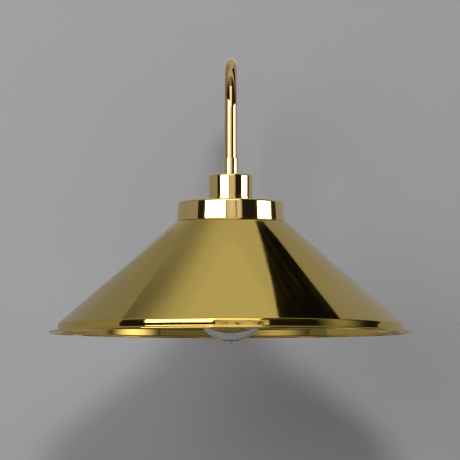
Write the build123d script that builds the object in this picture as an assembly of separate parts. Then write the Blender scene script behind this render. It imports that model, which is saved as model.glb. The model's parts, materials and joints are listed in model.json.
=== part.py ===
from build123d import *

import os
from math import cos, radians, sin, sqrt

# A wall light in polished brass: a swan-neck tube rises from a rose on the wall, bends over and carries a
# screw lampholder, a drum collar and a wide conical shade. Millimetres. The origin is the centre of the
# bracket's back face, on the wall. +Z is up, and the light reaches out along -Y. Heights in the shade are
# counted from the underside of its rim.

# ---- Clearances ----
FIT = 0.05  # radial play of a screwed or slipped fit
LAMP_GAP = 0.3  # room round the lamp, which screws in and out
HOLE_PLAY = 0.2  # radial play of a hole that a thread or screw passes through
THROUGH = 1.0  # how far a cutting tool runs past a face

# ---- General edges ----
EDGE_BREAK = 0.3  # on turned edges that meet another piece
EDGE_ROUND = 0.5  # on turned and moulded edges that show
SLOT_W = 0.5  # screwdriver slot of the small screws
SLOT_DEPTH = 0.5

# ---- Overall placing ----
REACH = 245.0  # wall to the shade's axis
RISER_OUT = 80.0  # wall to the rising part of the arm
ROSE_ABOVE_RIM = 60.0  # rose centre above the rim's underside

# ---- Arm ----
ARM_R = 5.0
ARM_BORE_R = 4.0
BEND_R = 45.0  # at the tube's middle line
CROWN_RISE = 85.7  # ferrule top to the middle line of the top run
THREAD_PROUD = 1.0  # how far a threaded end stands out of its nut
NUT_H = 3.0
NUT_ACROSS = 14.0
NUT_FACE_R = 7.2  # round face left by the chamfer
NUT_CHAMFER_H = 0.7

# ---- Rose and what it covers ----
ROSE_R = 50.0
ROSE_DEPTH = 22.0
ROSE_SHEET = 1.2
ROSE_CORNER_R = 8.0
ROSE_SCREW_Z = 36.0
ROSE_SCREW_R = 2.0
ROSE_SCREW_L = 9.0
ROSE_HEAD_R = 4.0
ROSE_HEAD_H = 2.6
ROSE_HEAD_ROUND = 2.5
ROSE_SLOT_W = 0.9
ROSE_SLOT_DEPTH = 1.3
BOSS_R = 14.0
BOSS_L = 12.0
BOSS_RIM_H = 2.5
BOSS_RIM_ROUND = 0.8
BOSS_NOSE_R = 7.0
BOSS_SWEEP_R = 8.5
WASHER_R = 14.0
WASHER_H = 2.0
TAG_SHEET = 0.8
TAG_RING_R = 8.5
TAG_NECK_W = 6.8
TAG_REACH = 17.0
TAG_CRIMP_L = 6.0
BRACKET_SHEET = 2.0
BRACKET_W = 20.0
BRACKET_L = 84.0
BRACKET_BEND_R = 1.0  # inside
BRACKET_LEG_Z = 31.0
EAR_END_Z = 40.5
WALL_SLOT_PITCH = 60.3
WALL_SLOT_L = 12.0
WALL_SLOT_R = 2.25

# ---- Terminal block ----
POLE_PITCH = 9.0
BLOCK_H = 13.0
BLOCK_TOP_Z = -14.5
BLOCK_WEB = 3.0
BLOCK_AXIS_OUT = 5.0  # bracket face to the middle of the barrels
BLOCK_BARREL_R = 4.0
BLOCK_CORNER_R = 1.0
TOWER_R = 3.0
TOWER_END_OUT = 12.0
TOWER_OFFSET = 3.4
BARREL_R = 2.2
BARREL_BORE_R = 1.5
BARREL_L = 12.0
CLAMP_SCREW_R = 1.3
CLAMP_SCREW_SUNK = 0.8
BLOCK_SCREW_R = 1.45
BLOCK_SCREW_HEAD_R = 2.4
BLOCK_SCREW_HEAD_H = 1.6

# ---- Leads ----
LEAD_R = 1.2
LEAD_SPACING = 2.6
CONDUCTOR_R = 0.7
CONDUCTOR_L = 6.5
LEAD_TURN_OUT = 6.5  # wall to where the two leads turn down
LEAD_RISE = 7.25  # straight run of the leads above the block
LEAD_BEND_R = 2.8  # tightest bend of a lead, at its middle line
LEAD_JOG_GAP = 1.8  # arm's lower end to where the two leads part
LEAD_JOG_RISE = 2.4  # terminal top to where they stand upright again
EARTH_LOOP_X = 25.0
EARTH_LOOP_DROP = 4.8
EARTH_TURN_R = 3.6
EARTH_BEND_R = 4.2

# ---- Shade ----
SHADE_R = 150.0
SHADE_H = 92.2
SHADE_SHEET = 0.85
SHADE_TOP_R = 46.6  # where the cone's line meets the flat top
SHADE_SHOULDER_R = 5.0
RIM_FLANGE_W = 6.4  # rim edge to the foot of the upstand
RIM_UPSTAND_H = 6.9
RIM_UPSTAND_LEAN = 2.0
RIM_ROLL_R = 5.0
RIM_COVE_R = 2.4
HEM_W = 4.0
HEM_LIP_R = 0.28
HEM_EDGE_R = 0.83
COLLAR_H = 16.6
COLLAR_TOP_R = 43.9
COLLAR_BOTTOM_R = 45.1
COLLAR_CORNER_R = 2.0
COLLAR_EDGE_R = 0.5
COLLAR_SHEET = 1.2

# ---- Lampholder ----
CAP_R = 18.2
CAP_H = 22.7
CAP_CORNER_R = 1.8
CAP_TOP_H = 1.6
CAP_BORE_H = 12.7  # depth of the thread that takes the skirt
CAP_LEDGE = 1.5  # width of the ledge above that thread
CAP_RING_R = 18.5
CAP_RING_H = 4.2
CAP_GROOVE_H = 0.8
CAP_GROOVE_DEPTH = 0.5
FERRULE_R = 6.05
FERRULE_L = 14.1
SKIRT_R = 16.5
SKIRT_WALL = 1.0
SKIRT_LIP = 1.2
SKIRT_LIP_H = 1.5
SKIRT_DROP = 37.8  # collar top to the skirt's lower edge
RING_R = 27.0
RING_H = 7.0
RING_HUB_R = 20.0
RING_PLATE_H = 1.8
RING_GRIPS = 12
RING_GRIP_R = 1.6
SOCKET_DEPTH = 27.5
CERAMIC_FLOOR_H = 10.0
RECESS_R = 13.4
SHELL_SHEET = 0.4
SHELL_EDGE_UP = 0.8  # screw shell's edge above the ceramic's lower edge
SHELL_FLANGE_R = 10.6
SHELL_CORNER_R = 1.0
LEAF_SHEET = 0.5
LEAF_W = 8.0
LEAF_DROP = 1.5
LEAF_SLOPE_L = 3.0
LEAF_TAIL_X = 9.6
LEAF_FOOT_X = 5.2
RIVET_R = 1.0
LEAF_RIVET_X = 7.5
SHELL_RIVET_X = 12.0
TERMINAL_H = 6.0
TERMINAL_W = 5.0
TERMINAL_IN_X = 4.5
TERMINAL_OUT_X = 13.0
TERMINAL_HOLE_R = 1.3
TERMINAL_HOLE_X = 6.8
TERMINAL_FLOOR = 1.0
TERMINAL_CORNER_R = 0.4
TERMINAL_GRIP_L = 4.8  # conductor inside the terminal
TERMINAL_SCREW_HEAD_R = 1.9
TERMINAL_SCREW_HEAD_H = 1.4

# ---- Lamp: a 60 mm globe on a 27 mm screw cap ----
LAMP_L = 106.0
GLOBE_R = 30.0
NECK_SWEEP_R = 35.0
GLASS = 0.8
PIP_H = 1.7
PIP_ROUND_R = 8.5
PIP_CREASE_R = 3.0
LAMP_CAP_R = 13.1
LAMP_CAP_SHEET = 0.3
LAMP_CAP_L = 27.0
LAMP_CAP_CORNER_R = 1.2
LAMP_SHOULDER_DOWN = 4.6  # contact top to the cap's shoulder
LAMP_INSULATOR_R = 11.0
LAMP_SHOULDER_HOLE_R = 8.0
LAMP_CONTACT_R = 4.6
LAMP_CONTACT_H = 1.2
LAMP_CONTACT_RIM = 0.6  # width of the insulator's edge round the contact
LAMP_CAP_ROLL_R = 0.6  # where its lower edge is rolled in
LAMP_NECK_R = 11.9  # leaves room for the depth of the thread
LAMP_NECK_DOWN = 14.0  # contact top to the glass neck's end
DRIVER_H = 1.2
CAPACITOR_R = 2.5
CAPACITOR_L = 6.0
CAPACITOR_LIFT = 2.45  # board to the capacitor's middle line, where its flat is glued down
CHIP_Y = 6.5
CHIP_L = 5.0
CHIP_W = 4.0
CHIP_H = 1.5
STEM_R = 3.5
STEM_WALL = 0.8
STEM_FLARE_H = 13.0
STEM_FLARE_R = 5.0
STEM_TUBE_H = 30.0  # neck's end to the press
PRESS_H = 6.0
PRESS_R = 2.8  # at its lower end
PRESS_ROUND = 1.0
POST_R = 1.2
POST_TIP_R = 1.08
POST_END_UP = -10.0  # from the globe's centre
FILAMENT_COUNT = 4
FILAMENT_R = 0.9
FILAMENT_TOP_UP = 24.0
FILAMENT_TOP_R = 5.0
FILAMENT_END_UP = -9.0
FILAMENT_END_R = 9.5
WIRE_ROOT_DOWN = 2.0  # press to where the upper wires leave the post
WIRE_ROOT_UP = 1.0  # stick's end to the height where its lower wire leaves the post
SUPPORT_WIRE_R = 0.35
LEAD_IN_X = 1.5

# ---- Heights above the rim's underside ----
collar_top = SHADE_H + COLLAR_H
cap_top = collar_top + CAP_H
cap_roof = cap_top - CAP_TOP_H
cap_ledge = collar_top + CAP_BORE_H
holder_nut_low = cap_roof - NUT_H
arm_end = holder_nut_low - THREAD_PROUD
ferrule_top = cap_top + FERRULE_L
skirt_low = collar_top - SKIRT_DROP
ceramic_low = skirt_low + SKIRT_LIP_H
socket_floor = ceramic_low + SOCKET_DEPTH
recess_floor = socket_floor + CERAMIC_FLOOR_H
terminal_top = recess_floor + TERMINAL_H
leaf_low = socket_floor - LEAF_DROP - LEAF_SHEET
lamp_top = leaf_low - LAMP_GAP
lamp_shoulder = lamp_top - LAMP_SHOULDER_DOWN
lamp_cap_low = lamp_top - LAMP_CAP_L
lamp_neck_top = lamp_top - LAMP_NECK_DOWN
press_top = lamp_neck_top - STEM_TUBE_H
press_low = press_top - PRESS_H
lamp_low = lamp_top - LAMP_L
globe_z = lamp_low + PIP_H + GLOBE_R

# ---- Heights in the wall frame, and distances out from the wall ----
crown_z = ferrule_top + CROWN_RISE - ROSE_ABOVE_RIM
terminal_end_z = terminal_top - ROSE_ABOVE_RIM
rose_inside = ROSE_DEPTH - ROSE_SHEET
washer_back = rose_inside - WASHER_H
tag_back = washer_back - TAG_SHEET
arm_start = tag_back - NUT_H - THREAD_PROUD
crimp_out = tag_back - LEAD_R
crimp_stop_x = TAG_REACH - TAG_CRIMP_L / 2
block_axis = BRACKET_SHEET + BLOCK_AXIS_OUT
block_mid_z = BLOCK_TOP_Z - BLOCK_H / 2

# ---- Radii that follow from a fit ----
arm_hole_r = ARM_R + FIT
skirt_hole_r = SKIRT_R + HOLE_PLAY
skirt_bore_r = SKIRT_R - SKIRT_WALL
ceramic_r = skirt_bore_r - FIT * 2
shell_bore_r = LAMP_CAP_R + LAMP_GAP
shell_r = shell_bore_r + SHELL_SHEET

# ---- The two frames that pieces are turned in ----
SHADE_FRAME = Pos(0, -REACH, -ROSE_ABOVE_RIM)  # +Z up the shade's axis, from the rim's underside
WALL_FRAME = Rot(90, 0, 0)  # +Z out of the wall, +Y up
POLES = (-POLE_PITCH, 0.0, POLE_PITCH)  # live, neutral, earth


def turned(*corners):
    """A piece turned about Z. Each corner is (radius, height) or (radius, height, rounding)."""
    outline = FilletPolyline(
        *[corner[:2] for corner in corners],
        radius=[corner[2] if len(corner) == 3 else 0 for corner in corners],
        close=True,
    )
    return revolve(Plane.XZ * make_face(outline), Axis.Z)


def spun(thickness, *corners):
    """A sheet piece spun about Z, from its outer line, with the sheet on the right-hand side of that line."""
    line = FilletPolyline(
        *[corner[:2] for corner in corners],
        radius=[corner[2] for corner in corners[1:-1]],
    )
    section = offset(line, thickness, side=Side.RIGHT)
    return revolve(Plane.XZ * make_face(section), Axis.Z)


def rod(start, end, radius):
    """A straight round rod between two points."""
    along = Vector(end) - Vector(start)
    return extrude(Plane(origin=start, z_dir=along) * Circle(radius), along.length)


def swept(path, radius):
    """A round section carried along a path of straight runs and arcs."""
    return sweep(Plane(origin=path @ 0, z_dir=path % 0) * Circle(radius), path)


def hexagon_nut(low, bore_r):
    """A thin hexagon nut standing on the height low."""
    corner_r = NUT_ACROSS / sqrt(3)
    blank = extrude(RegularPolygon(NUT_ACROSS / 2, 6, major_radius=False) - Circle(bore_r), NUT_H)
    chamfered = blank & turned(
        (0, 0), (NUT_FACE_R, 0), (corner_r, NUT_CHAMFER_H), (corner_r, NUT_H), (0, NUT_H)
    )
    return Pos(0, 0, low) * chamfered


# ---- On the wall ----
def wall_bracket():
    """Cross-shaped steel pressing: a flat leaf with two wall slots, and one with two raised, tapped ears."""
    ear_back = rose_inside - BRACKET_SHEET
    outside_r = BRACKET_BEND_R + BRACKET_SHEET
    half_line = [(0, BRACKET_LEG_Z, outside_r), (-ear_back, BRACKET_LEG_Z, BRACKET_BEND_R)]
    corners = [(y, -z, r) for y, z, r in reversed(half_line)] + half_line
    line = FilletPolyline(
        (-ear_back, -EAR_END_Z),
        *[corner[:2] for corner in corners],
        (-ear_back, EAR_END_Z),
        radius=[corner[2] for corner in corners],
    )
    section = make_face(offset(line, BRACKET_SHEET, side=Side.LEFT))
    raised_leaf = extrude(Plane.YZ * section, BRACKET_W / 2, both=True)
    flat_leaf = extrude(Rectangle(BRACKET_L, BRACKET_W), BRACKET_SHEET)
    flat_leaf = fillet(flat_leaf.edges().filter_by(Axis.Z), BRACKET_W / 4)
    slots = [
        Pos(side * WALL_SLOT_PITCH / 2, 0, 0)
        * extrude(SlotOverall(WALL_SLOT_L, WALL_SLOT_R * 2), BRACKET_SHEET)
        for side in (-1, 1)
    ]
    tapped = [
        Pos(0, side * ROSE_SCREW_Z, 0) * extrude(Circle(ROSE_SCREW_R + FIT), ROSE_DEPTH) for side in (-1, 1)
    ]
    block_holes = [
        Pos(side * POLE_PITCH / 2, block_mid_z, 0) * extrude(Circle(BLOCK_SCREW_R + FIT), BRACKET_SHEET)
        for side in (-1, 1)
    ]
    return raised_leaf + WALL_FRAME * flat_leaf - WALL_FRAME * (Part() + slots + tapped + block_holes)


def wall_rose():
    """Spun brass cup with a hole for the arm and two for its screws."""
    cup = spun(
        ROSE_SHEET,
        (arm_hole_r + HOLE_PLAY, ROSE_DEPTH),
        (ROSE_R, ROSE_DEPTH, ROSE_CORNER_R),
        (ROSE_R, 0),
    )
    holes = [
        Pos(0, side * ROSE_SCREW_Z, 0) * extrude(Circle(ROSE_SCREW_R + HOLE_PLAY), ROSE_DEPTH)
        for side in (-1, 1)
    ]
    return WALL_FRAME * (cup - holes)


def rose_screws():
    """Two round-headed brass screws, through the rose into the bracket's ears."""
    screw = turned(
        (0, ROSE_DEPTH - ROSE_SCREW_L),
        (ROSE_SCREW_R, ROSE_DEPTH - ROSE_SCREW_L, EDGE_BREAK),
        (ROSE_SCREW_R, ROSE_DEPTH),
        (ROSE_HEAD_R, ROSE_DEPTH),
        (ROSE_HEAD_R, ROSE_DEPTH + ROSE_HEAD_H, ROSE_HEAD_ROUND),
        (0, ROSE_DEPTH + ROSE_HEAD_H),
    )
    slot = Pos(0, 0, ROSE_DEPTH + ROSE_HEAD_H) * Box(ROSE_HEAD_R * 2, ROSE_SLOT_W, ROSE_SLOT_DEPTH * 2)
    screw -= slot
    return WALL_FRAME * (Pos(0, ROSE_SCREW_Z, 0) * screw + Pos(0, -ROSE_SCREW_Z, 0) * screw)


def arm_boss():
    """Turned brass boss, a flange that sweeps in to the tube where the arm leaves the rose."""
    rim_out = ROSE_DEPTH + BOSS_RIM_H
    nose_out = ROSE_DEPTH + BOSS_L
    flange = turned(
        (arm_hole_r, ROSE_DEPTH),
        (BOSS_R, ROSE_DEPTH),
        (BOSS_R, rim_out, BOSS_RIM_ROUND),
        (BOSS_NOSE_R, rim_out, BOSS_SWEEP_R - BOSS_NOSE_R),
        (BOSS_NOSE_R, nose_out, EDGE_ROUND),
        (arm_hole_r, nose_out),
    )
    return WALL_FRAME * flange


def backing_washer():
    """Steel washer that spreads the arm's pull over the rose's sheet."""
    return WALL_FRAME * turned(
        (arm_hole_r, washer_back), (WASHER_R, washer_back), (WASHER_R, rose_inside), (arm_hole_r, rose_inside)
    )


def earth_tag():
    """Ring tag under the arm's nut, with a crimped barrel to one side."""
    neck_l = TAG_REACH - TAG_CRIMP_L
    ring = Circle(TAG_RING_R) + Pos(neck_l / 2, 0) * Rectangle(neck_l, TAG_NECK_W)
    plate = Pos(0, 0, tag_back) * extrude(ring - Circle(arm_hole_r), TAG_SHEET)
    sleeve = rod((neck_l, 0, crimp_out), (TAG_REACH, 0, crimp_out), LEAD_R + TAG_SHEET)
    bore = rod((crimp_stop_x, 0, crimp_out), (TAG_REACH, 0, crimp_out), LEAD_R + FIT)
    return WALL_FRAME * (plate + sleeve - bore)


def arm_locknut():
    """Thin hexagon nut that clamps boss, rose, washer and tag on the arm's threaded end."""
    return WALL_FRAME * hexagon_nut(tag_back - NUT_H, arm_hole_r)


# ---- Terminal block ----
def terminal_places():
    """Where the clamping screws stand: (x, z) of two on each pole."""
    return [(x, block_mid_z + side * TOWER_OFFSET) for x in POLES for side in (-1, 1)]


def pole_rods(radius, length):
    """One rod along each pole, centred on the block."""
    return [
        rod((x, block_mid_z - length / 2, block_axis), (x, block_mid_z + length / 2, block_axis), radius)
        for x in POLES
    ]


def terminal_block():
    """Moulded three-pole block: a web, a round body along each pole, and a tower over each screw."""
    web = Pos(0, block_mid_z, BRACKET_SHEET) * extrude(
        RectangleRounded(POLE_PITCH * 2 + BLOCK_BARREL_R * 2, BLOCK_H, BLOCK_CORNER_R), BLOCK_WEB
    )
    body = web + pole_rods(BLOCK_BARREL_R, BLOCK_H)
    bores = pole_rods(BARREL_R + FIT, BLOCK_H)
    for x, z in terminal_places():
        body += rod((x, z, block_axis), (x, z, TOWER_END_OUT), TOWER_R)
        bores.append(rod((x, z, block_axis), (x, z, TOWER_END_OUT), CLAMP_SCREW_R + FIT))
    for side in (-1, 1):
        hole = Pos(side * POLE_PITCH / 2, block_mid_z, BRACKET_SHEET)
        bores.append(hole * extrude(Circle(BLOCK_SCREW_R + HOLE_PLAY), BLOCK_WEB))
        bores.append(hole * Pos(0, 0, BLOCK_WEB) * extrude(Circle(BLOCK_SCREW_HEAD_R + FIT), TOWER_END_OUT))
    return WALL_FRAME * (body - bores)


def terminal_barrels():
    """Three brass barrels, each with two tapped cross holes."""
    tubes = Part() + pole_rods(BARREL_R, BARREL_L)
    cuts = pole_rods(BARREL_BORE_R, BLOCK_H)
    for x, z in terminal_places():
        cuts.append(rod((x, z, block_axis), (x, z, TOWER_END_OUT), CLAMP_SCREW_R + FIT))
    return WALL_FRAME * (tubes - cuts)


def terminal_screws():
    """Six slotted clamping screws, down onto the conductors."""
    screws = Part()
    for x, z in terminal_places():
        head_out = TOWER_END_OUT - CLAMP_SCREW_SUNK
        screw = rod((x, z, block_axis + CONDUCTOR_R), (x, z, head_out), CLAMP_SCREW_R)
        screws += screw - Pos(x, z, head_out) * Box(CLAMP_SCREW_R * 2, SLOT_W, SLOT_DEPTH * 2)
    return WALL_FRAME * screws


def block_screws():
    """Two screws that hold the block on the bracket."""
    screws = Part()
    for side in (-1, 1):
        screw = turned(
            (0, 0),
            (BLOCK_SCREW_R, 0),
            (BLOCK_SCREW_R, BRACKET_SHEET + BLOCK_WEB),
            (BLOCK_SCREW_HEAD_R, BRACKET_SHEET + BLOCK_WEB),
            (BLOCK_SCREW_HEAD_R, BRACKET_SHEET + BLOCK_WEB + BLOCK_SCREW_HEAD_H, EDGE_ROUND),
            (0, BRACKET_SHEET + BLOCK_WEB + BLOCK_SCREW_HEAD_H),
        )
        screws += Pos(side * POLE_PITCH / 2, block_mid_z, 0) * screw
    return WALL_FRAME * screws


# ---- Arm and leads ----
def arm_corners(x=0.0):
    """The four runs' corners, in the wall's upright plane at x."""
    return [(x, -RISER_OUT, 0), (x, -RISER_OUT, crown_z), (x, -REACH, crown_z)]


def arm_tube():
    """One brass tube: stub, rise, run over the top and drop, joined by three equal bends."""
    path = FilletPolyline(
        (0, -arm_start, 0), *arm_corners(), (0, -REACH, arm_end - ROSE_ABOVE_RIM), radius=BEND_R
    )
    return swept(path, ARM_R) - swept(path, ARM_BORE_R)


def through_lead(side):
    """One lead from its pole of the block, through the arm, to its terminal on the lampholder."""
    x = side * LEAD_SPACING / 2
    pole_x = POLES[0] if side < 0 else POLES[1]
    hole_x = side * TERMINAL_HOLE_X
    jog_top = arm_end - LEAD_JOG_GAP - ROSE_ABOVE_RIM
    jog_low = terminal_end_z + LEAD_JOG_RISE
    path = FilletPolyline(
        (pole_x, -block_axis, BLOCK_TOP_Z),
        (pole_x, -block_axis, BLOCK_TOP_Z + LEAD_RISE),
        (x, -LEAD_TURN_OUT, 0),
        *arm_corners(x),
        (x, -REACH, jog_top),
        (hole_x, -REACH, jog_low),
        (hole_x, -REACH, terminal_end_z),
        radius=[LEAD_BEND_R, LEAD_BEND_R, BEND_R, BEND_R, BEND_R, LEAD_BEND_R, LEAD_BEND_R],
    )
    return swept(path, LEAD_R)


def lead_live():
    return through_lead(-1)


def lead_neutral():
    return through_lead(1)


def lead_earth():
    """Short lead from the earth pole to the tag on the arm."""
    path = FilletPolyline(
        (crimp_stop_x, -crimp_out, 0),
        (EARTH_LOOP_X, -crimp_out, 0),
        (EARTH_LOOP_X, -block_axis, -EARTH_LOOP_DROP),
        (POLES[2], -block_axis, -EARTH_LOOP_DROP),
        (POLES[2], -block_axis, BLOCK_TOP_Z),
        radius=[EARTH_TURN_R, EARTH_BEND_R, EARTH_BEND_R],
    )
    return swept(path, LEAD_R)


def conductor_ends():
    """Bare copper ends: three in the block, two in the lampholder's terminals."""
    ends = Part()
    for x in POLES:
        ends += rod((x, -block_axis, BLOCK_TOP_Z), (x, -block_axis, BLOCK_TOP_Z - CONDUCTOR_L), CONDUCTOR_R)
    for side in (-1, 1):
        x = side * TERMINAL_HOLE_X
        ends += rod((x, -REACH, terminal_end_z), (x, -REACH, terminal_end_z - TERMINAL_GRIP_L), CONDUCTOR_R)
    return ends


def arm_ferrule():
    """Turned ferrule screwed on the arm above the lampholder's cap."""
    return SHADE_FRAME * turned(
        (arm_hole_r, cap_top),
        (FERRULE_R, cap_top, EDGE_BREAK),
        (FERRULE_R, ferrule_top, EDGE_ROUND),
        (arm_hole_r, ferrule_top),
    )


# ---- Lampholder ----
def holder_locknut():
    """Thin nut inside the cap, on the arm's lower thread."""
    return SHADE_FRAME * hexagon_nut(holder_nut_low, arm_hole_r)


def lampholder_cap():
    """Turned brass cap with a grooved base ring, threaded inside for the skirt."""
    thread_r = SKIRT_R + FIT
    ring_top = collar_top + CAP_RING_H
    groove_top = ring_top + CAP_GROOVE_H
    return SHADE_FRAME * turned(
        (thread_r, collar_top),
        (CAP_RING_R, collar_top, EDGE_BREAK),
        (CAP_RING_R, ring_top, EDGE_BREAK),
        (CAP_R - CAP_GROOVE_DEPTH, ring_top),
        (CAP_R - CAP_GROOVE_DEPTH, groove_top),
        (CAP_R, groove_top, EDGE_BREAK),
        (CAP_R, cap_top, CAP_CORNER_R),
        (arm_hole_r, cap_top),
        (arm_hole_r, cap_roof),
        (thread_r - CAP_LEDGE, cap_roof),
        (thread_r - CAP_LEDGE, cap_ledge),
        (thread_r, cap_ledge),
    )


def lampholder_skirt():
    """Threaded brass tube that hangs from the cap, with a lip that carries the ceramic."""
    lip_bore_r = skirt_bore_r - SKIRT_LIP
    return SHADE_FRAME * turned(
        (lip_bore_r, skirt_low),
        (SKIRT_R, skirt_low, EDGE_ROUND),
        (SKIRT_R, cap_ledge - FIT),
        (skirt_bore_r, cap_ledge - FIT),
        (skirt_bore_r, ceramic_low),
        (lip_bore_r, ceramic_low),
    )


def shade_ring():
    """Flanged ring screwed up the skirt to clamp the shade and collar against the cap."""
    top = SHADE_H - SHADE_SHEET
    plate_low = top - RING_PLATE_H
    bore_r = SKIRT_R + FIT
    ring = turned(
        (bore_r, top - RING_H),
        (RING_HUB_R, top - RING_H, EDGE_ROUND),
        (RING_HUB_R, plate_low),
        (RING_R, plate_low, EDGE_BREAK),
        (RING_R, top),
        (bore_r, top),
    )
    grip = Pos(0, 0, plate_low) * extrude(Circle(RING_GRIP_R), RING_PLATE_H)
    grips = [place * grip for place in PolarLocations(RING_R, RING_GRIPS)]
    return SHADE_FRAME * (ring - grips)


def lampholder_ceramic():
    """Glazed ceramic body: a well for the screw shell below, a recess for the terminals above."""
    body = turned(
        (shell_r + FIT, ceramic_low),
        (ceramic_r, ceramic_low),
        (ceramic_r, cap_ledge),
        (RECESS_R, cap_ledge),
        (RECESS_R, recess_floor),
        (0, recess_floor),
        (0, socket_floor),
        (shell_r + FIT, socket_floor),
    )
    rivet_holes = [
        Pos(x, 0, socket_floor) * extrude(Circle(RIVET_R + FIT), CERAMIC_FLOOR_H)
        for x in (-LEAF_RIVET_X, SHELL_RIVET_X)
    ]
    return SHADE_FRAME * (body - rivet_holes)


def lampholder_screw_shell():
    """Brass shell that takes the lamp's cap, flanged against the ceramic's floor."""
    shell = spun(
        SHELL_SHEET,
        (SHELL_FLANGE_R, socket_floor),
        (shell_r, socket_floor, SHELL_CORNER_R),
        (shell_r, ceramic_low + SHELL_EDGE_UP),
    )
    rivet_hole = Pos(SHELL_RIVET_X, 0, socket_floor) * extrude(Circle(RIVET_R + FIT), THROUGH, both=True)
    return SHADE_FRAME * (shell - rivet_hole)


def lampholder_contact():
    """Spring-bronze leaf, riveted to the floor at its tail and bent down to the lamp's contact."""
    line = Polyline(
        (-LEAF_TAIL_X, socket_floor),
        (-LEAF_FOOT_X, socket_floor),
        (-LEAF_FOOT_X + LEAF_SLOPE_L, socket_floor - LEAF_DROP),
        (LAMP_CONTACT_R, socket_floor - LEAF_DROP),
    )
    section = make_face(offset(line, LEAF_SHEET, side=Side.RIGHT))
    leaf = extrude(Plane.XZ * section, LEAF_W / 2, both=True)
    rivet_hole = Pos(-LEAF_RIVET_X, 0, socket_floor) * extrude(Circle(RIVET_R + FIT), THROUGH, both=True)
    return SHADE_FRAME * (leaf - rivet_hole)


def lampholder_rivets():
    """One rivet through the leaf and one through the shell's flange, up to the terminals."""
    rivets = Part()
    for x, sheet in ((-LEAF_RIVET_X, LEAF_SHEET), (SHELL_RIVET_X, SHELL_SHEET)):
        rivets += rod((x, 0, socket_floor - sheet), (x, 0, recess_floor), RIVET_R)
    return SHADE_FRAME * rivets


def lampholder_terminals():
    """Two brass pillar terminals in the recess, each with a hole for its conductor and one for its screw."""
    pillars = Part()
    for side in (-1, 1):
        length = TERMINAL_OUT_X - TERMINAL_IN_X
        middle = side * (TERMINAL_OUT_X + TERMINAL_IN_X) / 2
        pillar = Pos(middle, 0, recess_floor) * extrude(Rectangle(length, TERMINAL_W), TERMINAL_H)
        pillar = fillet(pillar.edges().filter_by(Axis.Z), TERMINAL_CORNER_R)
        hole = Pos(side * TERMINAL_HOLE_X, 0, recess_floor + TERMINAL_FLOOR)
        pillar -= hole * extrude(Circle(TERMINAL_HOLE_R), TERMINAL_H)
        screw_z = recess_floor + TERMINAL_H / 2
        pillar -= rod(
            (side * TERMINAL_IN_X, 0, screw_z), (side * TERMINAL_HOLE_X, 0, screw_z), CLAMP_SCREW_R + FIT
        )
        pillars += pillar
    return SHADE_FRAME * pillars


def lampholder_terminal_screws():
    """The terminals' two screws, from the middle outwards onto the conductors."""
    screws = Part()
    screw_z = recess_floor + TERMINAL_H / 2
    for side in (-1, 1):
        head_x = side * (TERMINAL_IN_X - TERMINAL_SCREW_HEAD_H)
        face_x = side * TERMINAL_IN_X
        tip_x = side * (TERMINAL_HOLE_X - CONDUCTOR_R)
        screw = rod((head_x, 0, screw_z), (face_x, 0, screw_z), TERMINAL_SCREW_HEAD_R)
        screw += rod((face_x, 0, screw_z), (tip_x, 0, screw_z), CLAMP_SCREW_R)
        screws += screw - Pos(head_x, 0, screw_z) * Box(SLOT_DEPTH * 2, TERMINAL_SCREW_HEAD_R * 2, SLOT_W)
    return SHADE_FRAME * screws


# ---- Shade ----
def shade_collar():
    """Spun drum, slightly wider at its foot, standing on the shade's flat top."""
    return SHADE_FRAME * turned(
        (skirt_hole_r, collar_top),
        (COLLAR_TOP_R, collar_top, COLLAR_CORNER_R),
        (COLLAR_BOTTOM_R, SHADE_H, COLLAR_EDGE_R),
        (COLLAR_BOTTOM_R - COLLAR_SHEET, SHADE_H),
        (COLLAR_TOP_R - COLLAR_SHEET, collar_top - COLLAR_SHEET, COLLAR_CORNER_R - COLLAR_SHEET),
        (skirt_hole_r, collar_top - COLLAR_SHEET),
    )


def shade_cone():
    """Spun brass cone: flat top, rounded shoulder, straight flank, rolled upstand, and a hemmed flat rim."""
    upstand_foot_r = SHADE_R - RIM_FLANGE_W
    rim_top = SHADE_SHEET * 2
    cone = spun(
        SHADE_SHEET,
        (skirt_hole_r, SHADE_H),
        (SHADE_TOP_R, SHADE_H, SHADE_SHOULDER_R),
        (upstand_foot_r - RIM_UPSTAND_LEAN, rim_top + RIM_UPSTAND_H, RIM_ROLL_R),
        (upstand_foot_r, rim_top, RIM_COVE_R),
        (SHADE_R - SHADE_SHEET, rim_top),
    )
    hem = turned(
        (SHADE_R - HEM_W, 0, HEM_LIP_R),
        (SHADE_R, 0, HEM_EDGE_R),
        (SHADE_R, rim_top, HEM_EDGE_R),
        (SHADE_R - HEM_W, rim_top),
    )
    return SHADE_FRAME * (cone + hem)


# ---- Lamp ----
def lamp_form(inset, top):
    """The lamp's glass as a solid, a globe that sweeps in to a straight neck, taken inset inside its skin."""
    sweep_r = LAMP_NECK_R + NECK_SWEEP_R
    sweep_z = globe_z + sqrt((GLOBE_R + NECK_SWEEP_R) ** 2 - sweep_r**2)
    share = (GLOBE_R - inset) / (GLOBE_R + NECK_SWEEP_R)
    meet = (sweep_r * share, globe_z + (sweep_z - globe_z) * share)
    waist = (LAMP_NECK_R - inset, sweep_z)
    low = (0, globe_z - GLOBE_R + inset)
    outline = [
        Line((0, top), (LAMP_NECK_R - inset, top)),
        Line((LAMP_NECK_R - inset, top), waist),
        TangentArc(waist, meet, tangent=(0, -1)),
        ThreePointArc(meet, (GLOBE_R - inset, globe_z), low),
        Line(low, (0, top)),
    ]
    return revolve(Plane.XZ * make_face(outline), Axis.Z)


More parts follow.
